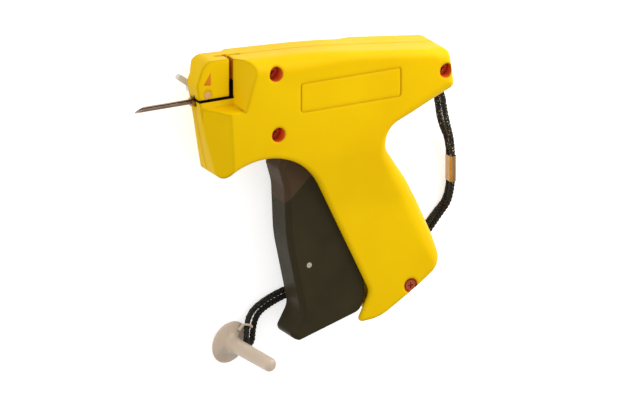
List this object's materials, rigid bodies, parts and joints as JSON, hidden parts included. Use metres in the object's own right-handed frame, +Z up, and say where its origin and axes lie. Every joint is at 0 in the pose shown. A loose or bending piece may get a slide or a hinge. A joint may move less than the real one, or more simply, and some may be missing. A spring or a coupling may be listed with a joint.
{
  "type": "garment tag attacher",
  "caption": "Pistol-grip garment tag attacher with a hollow needle, squeeze trigger, inner lever and slider drive, needle lock and a doubled cord carrying a needle cap.",
  "frame": {"origin": "centre of the tool's box on the surface it lies on, cord and cap left out", "axes": "+X from the needle's tip to the rear of the head, +Y from the grip's foot to the top of the head, +Z up from the surface, from the tool's right side to its left side"},
  "size_m": [0.1646, 0.148, 0.0325],
  "materials": {
    "housing": "moulded yellow ABS, satin gloss",
    "trigger": "moulded dark brown-black plastic, fine texture",
    "inner_plastic": "moulded white acetal",
    "steel": "bright drawn steel",
    "needle": "ground steel tube",
    "needle_base": "moulded orange plastic",
    "lock": "moulded white plastic",
    "spring": "drawn spring wire",
    "screw": "dark plated steel",
    "cord": "braided black cord",
    "ferrule": "crimped brass sheet",
    "cap": "soft milky plastic"
  },
  "bodies": {
    "housing": {"left_shell": "housing", "right_shell": "housing", "head_screw_1": "screw", "head_screw_2": "screw", "head_screw_3": "screw", "grip_screw": "screw", "fulcrum_pin": "steel", "rod_guide": "inner_plastic", "needle": "needle", "needle_base": "needle_base", "wheel_axle": "steel", "pawl_pin": "steel", "detent_leaf": "steel", "knife": "steel", "return_spring": "spring", "spring_anchor": "steel", "lanyard_pin": "steel", "lanyard_cord": "cord", "ferrule": "ferrule", "needle_cap": "cap"},
    "trigger": {"trigger": "trigger", "link_pin": "steel"},
    "drive_lever": {"drive_lever": "inner_plastic"},
    "slider": {"slider": "inner_plastic", "slider_pin": "steel", "ejector_rod": "steel"},
    "feed_wheel": {"feed_wheel": "inner_plastic"},
    "feed_pawl": {"feed_pawl": "inner_plastic"},
    "lock_lever": {"lock_lever": "lock"}
  },
  "joints": [
    {"name": "trigger_squeeze", "type": "hinge", "parent": "housing", "child": "trigger", "pos_m": [0.0019, 0.02665, 0.014], "axis": [0, 0, 1], "range_deg": [0, 20], "stiffness_Nm_per_rad": 0.35, "springref_deg": -14.32},
    {"name": "lever_swing", "type": "hinge", "parent": "housing", "child": "drive_lever", "pos_m": [0.0189, -0.00835, 0.014], "axis": [0, 0, 1], "range_deg": [0, 47.1]},
    {"name": "slider_stroke", "type": "slide", "parent": "housing", "child": "slider", "axis": [1, 0, 0], "range_m": [-0.0497, 0], "deforming": ["return_spring"]},
    {"name": "wheel_turn", "type": "hinge", "parent": "housing", "child": "feed_wheel", "pos_m": [-0.0237, 0.03645, 0.014], "axis": [0, 0, 1], "continuous": true},
    {"name": "pawl_turn", "type": "hinge", "parent": "housing", "child": "feed_pawl", "pos_m": [-0.0097, 0.03905, 0.014], "axis": [0, 0, 1], "range_deg": [-8, 8], "stiffness_Nm_per_rad": 0.002},
    {"name": "lock_turn", "type": "hinge", "parent": "housing", "child": "lock_lever", "pos_m": [-0.0436, 0.05265, 0.014], "axis": [0, 0, 1], "range_deg": [-90, 0]}
  ],
  "couplings": [
    {"joint": "lever_swing", "follows": "trigger_squeeze", "ratio": 2.35},
    {"joint": "slider_stroke", "follows": "trigger_squeeze", "m_per_rad": -0.14209}
  ]
}
